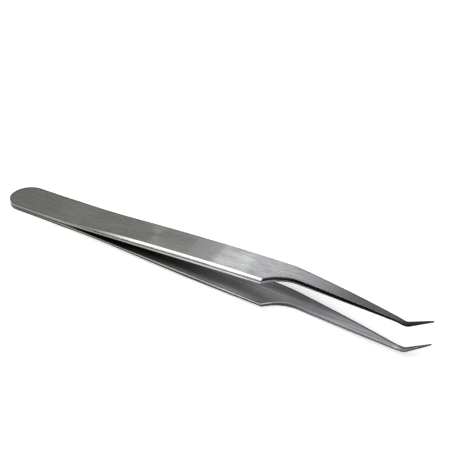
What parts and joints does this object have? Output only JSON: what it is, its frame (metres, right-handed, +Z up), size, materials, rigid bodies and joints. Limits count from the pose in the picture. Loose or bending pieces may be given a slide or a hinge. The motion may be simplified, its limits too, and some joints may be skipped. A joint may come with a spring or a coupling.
{
  "type": "angled tweezers",
  "caption": "Fine-point steel tweezers with bevelled flat grips, a notch in the near edge and slim points bent to one side.",
  "frame": {"origin": "middle of the base, on the surface that the tweezers lie on", "axes": "+X along the tweezers from the heel to the tips, +Y to the side that the points bend to, +Z up, across the two arms"},
  "size_m": [0.1204, 0.0096, 0.011],
  "materials": {
    "upper_steel": "satin, brushed lengthwise",
    "lower_steel": "satin, brushed lengthwise"
  },
  "bodies": {
    "root": {"upper_arm": "upper_steel", "lower_arm": "lower_steel"}
  },
  "joints": []
}
